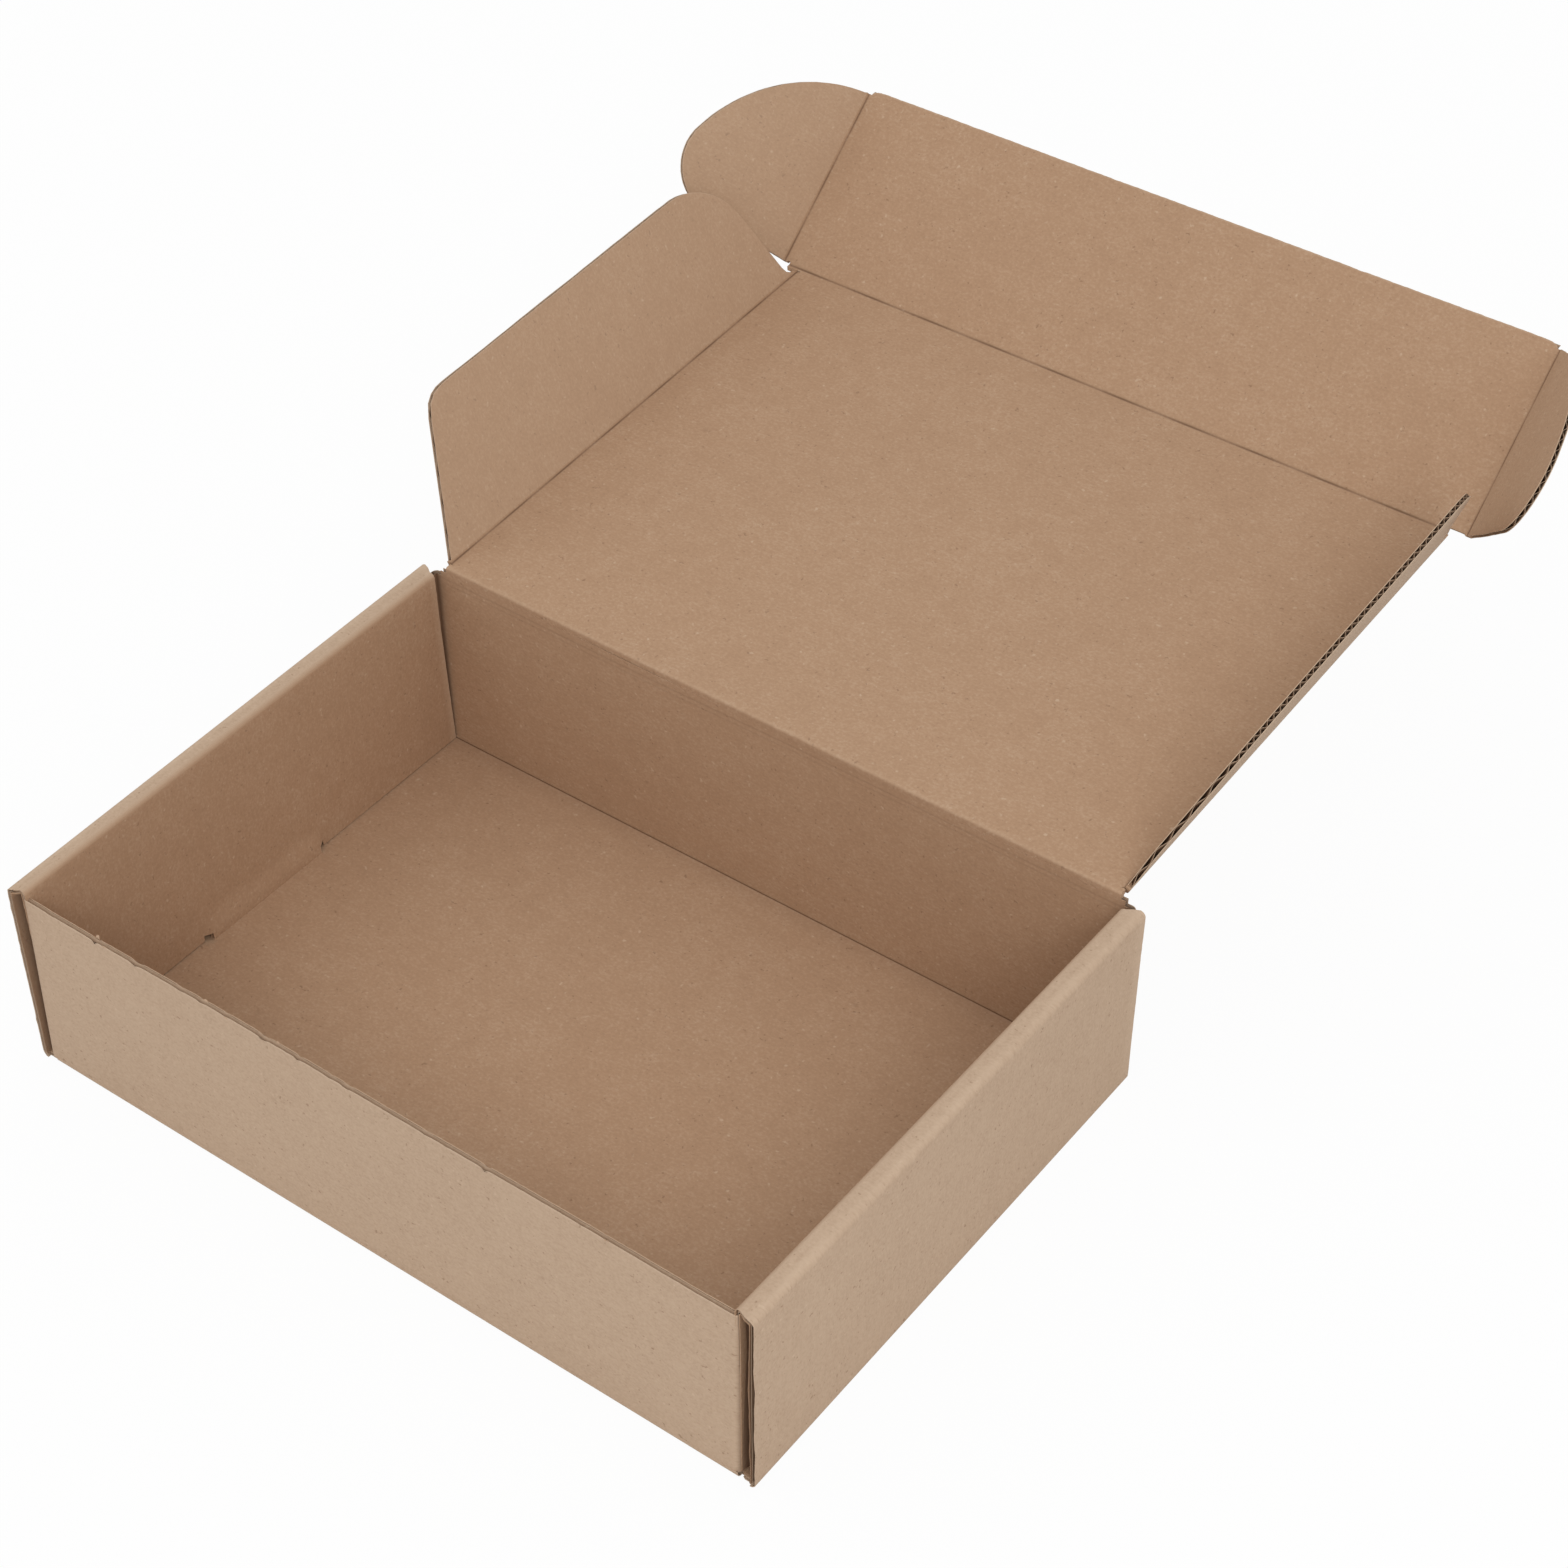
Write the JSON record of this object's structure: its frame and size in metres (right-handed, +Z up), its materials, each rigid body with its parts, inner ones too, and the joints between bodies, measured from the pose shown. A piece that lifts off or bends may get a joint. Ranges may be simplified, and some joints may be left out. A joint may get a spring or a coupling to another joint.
{
  "type": "open cardboard mailer box",
  "caption": "Low rectangular mailer box of thin corrugated board, standing open: tray with rolled side walls, hinged lid with dust flaps, front flap and rounded lock ears.",
  "frame": {"origin": "middle of the base's underside, on the table", "axes": "+X to the right seen from the front wall, +Y from the front wall to the hinge, +Z up"},
  "size_m": [0.296, 0.3841, 0.1256],
  "materials": {
    "kraft_board": "matte"
  },
  "bodies": {
    "tray": {"tray": "kraft_board"},
    "lid": {"lid_panel": "kraft_board"},
    "dust_flap_left": {"dust_flap_left": "kraft_board"},
    "dust_flap_right": {"dust_flap_right": "kraft_board"},
    "front_flap": {"front_flap": "kraft_board"},
    "lock_ear_left": {"lock_ear_left": "kraft_board"},
    "lock_ear_right": {"lock_ear_right": "kraft_board"}
  },
  "joints": [
    {"name": "lid_crease", "type": "hinge", "parent": "tray", "child": "lid", "pos_m": [0, 0.084, 0.064], "axis": [1, 0, 0], "range_deg": [-12, 176.5]},
    {"name": "dust_crease_left", "type": "hinge", "parent": "lid", "child": "dust_flap_left", "pos_m": [-0.11455, 0.084, 0.064], "axis": [0, 0.9981, 0.061], "range_deg": [-65, 41]},
    {"name": "dust_crease_right", "type": "hinge", "parent": "lid", "child": "dust_flap_right", "pos_m": [0.11455, 0.084, 0.064], "axis": [0, -0.9981, -0.061], "range_deg": [-65, 41]},
    {"name": "front_crease", "type": "hinge", "parent": "lid", "child": "front_flap", "pos_m": [0, 0.25388, 0.07439], "axis": [1, 0, 0], "range_deg": [-36.5, 53.5]},
    {"name": "ear_crease_left", "type": "hinge", "parent": "front_flap", "child": "lock_ear_left", "pos_m": [-0.1209, 0.25388, 0.07439], "axis": [0, 0.766, 0.6428], "range_deg": [-58, 0]},
    {"name": "ear_crease_right", "type": "hinge", "parent": "front_flap", "child": "lock_ear_right", "pos_m": [0.1209, 0.25388, 0.07439], "axis": [0, -0.766, -0.6428], "range_deg": [-58, 0]}
  ],
  "couplings": [
    {"joint": "dust_crease_left", "follows": "lid_crease", "ratio": 0.23},
    {"joint": "dust_crease_right", "follows": "lid_crease", "ratio": 0.23}
  ]
}
